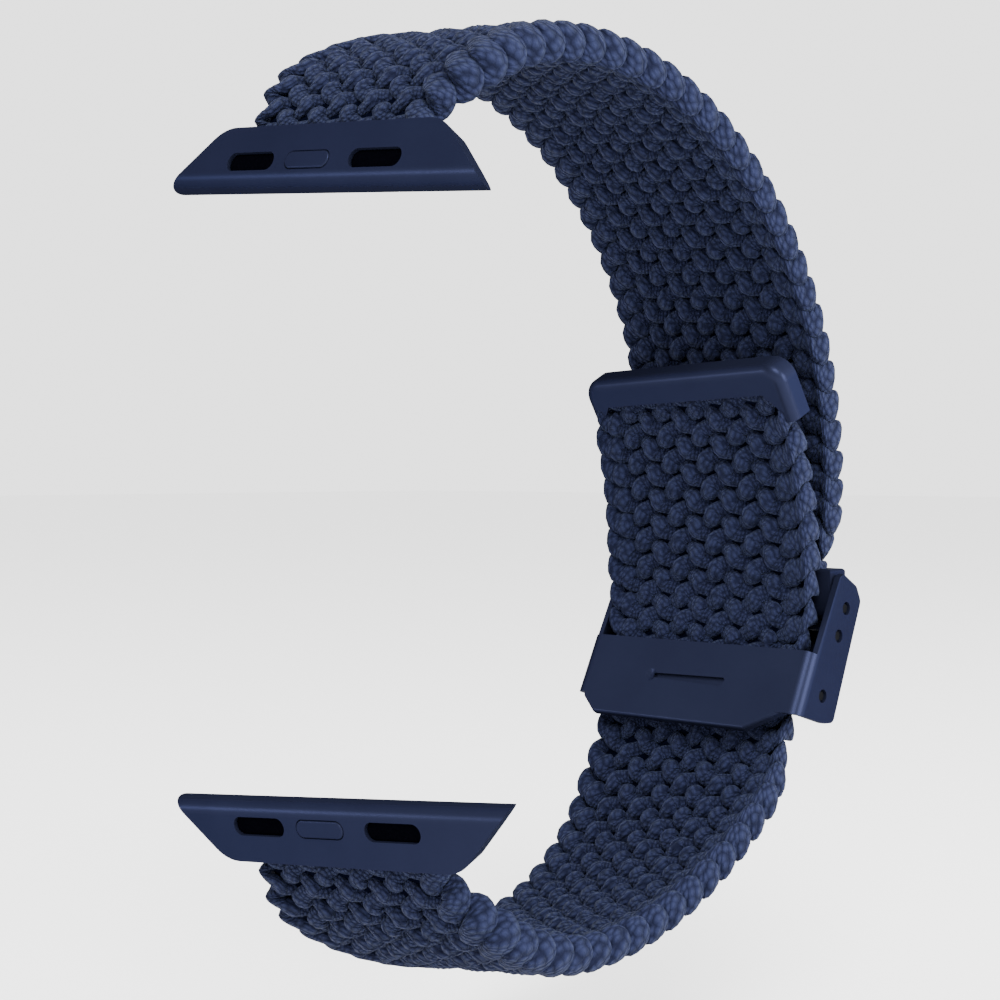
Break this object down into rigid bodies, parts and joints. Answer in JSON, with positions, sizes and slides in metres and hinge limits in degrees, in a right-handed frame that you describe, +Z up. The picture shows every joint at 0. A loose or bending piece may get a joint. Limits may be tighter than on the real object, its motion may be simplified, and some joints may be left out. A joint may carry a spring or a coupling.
{
  "type": "fitness tracker band",
  "caption": "Braided elastic wrist band with two slide-in lugs and a flip-lever buckle that grips the tail against the inside of the upper strap.",
  "frame": {"origin": "midway between the free edges of the two lugs, on their outer faces, where the tracker's centre would be", "axes": "+X across the strap, +Y from the tracker back to the buckle, +Z up from the lower lug to the upper lug"},
  "size_m": [0.0337, 0.0558, 0.0807],
  "materials": {
    "braid": "navy braided elastic yarn",
    "hardware": "navy satin coat on metal",
    "pads": "matte black silicone",
    "steel": "blackened steel",
    "pin_ends": "blackened turned pin"
  },
  "bodies": {
    "upper_band": {"upper_lug_shell": "hardware", "upper_lug_back_cover": "hardware", "upper_lug_pads": "pads", "upper_latch_spring": "steel", "upper_cover_screws": "steel", "upper_anchor_pin": "steel", "upper_strap": "braid", "strap_connector": "hardware", "connector_rivets": "steel"},
    "upper_latch": {"upper_latch_button": "hardware"},
    "buckle": {"buckle_frame": "hardware", "swivel_pin": "pin_ends", "latch_pin": "pin_ends", "hinge_stubs": "pin_ends"},
    "lever": {"locking_lever": "hardware"},
    "lower_band": {"lower_lug_shell": "hardware", "lower_lug_back_cover": "hardware", "lower_lug_pads": "pads", "lower_latch_spring": "steel", "lower_cover_screws": "steel", "lower_anchor_pin": "steel", "lower_strap": "braid", "end_clip": "hardware"},
    "lower_latch": {"lower_latch_button": "hardware"}
  },
  "joints": [
    {"name": "upper_latch_press", "type": "slide", "parent": "upper_band", "child": "upper_latch", "axis": [-0.0348, 0.9514, -0.306], "range_m": [0, 0.0005], "stiffness_N_per_m": 400, "springref_m": -0.0005, "deforming": ["upper_latch_spring"]},
    {"name": "buckle_swivel", "type": "hinge", "parent": "upper_band", "child": "buckle", "pos_m": [0, 0.05299, -0.01056], "axis": [1, 0, 0], "range_deg": [0, 12]},
    {"name": "lever_flip", "type": "hinge", "parent": "buckle", "child": "lever", "pos_m": [0, 0.04913, -0.01814], "axis": [-1, 0, 0], "range_deg": [0, 95]},
    {"name": "strap_adjust", "type": "hinge", "parent": "buckle", "child": "lower_band", "pos_m": [0, 0.016, -0.0085], "axis": [1, 0, 0], "range_deg": [-4, 6]},
    {"name": "lower_latch_press", "type": "slide", "parent": "lower_band", "child": "lower_latch", "axis": [-0.0973, 0.9783, 0.1831], "range_m": [0, 0.0005], "stiffness_N_per_m": 400, "springref_m": -0.0005, "deforming": ["lower_latch_spring"]}
  ]
}
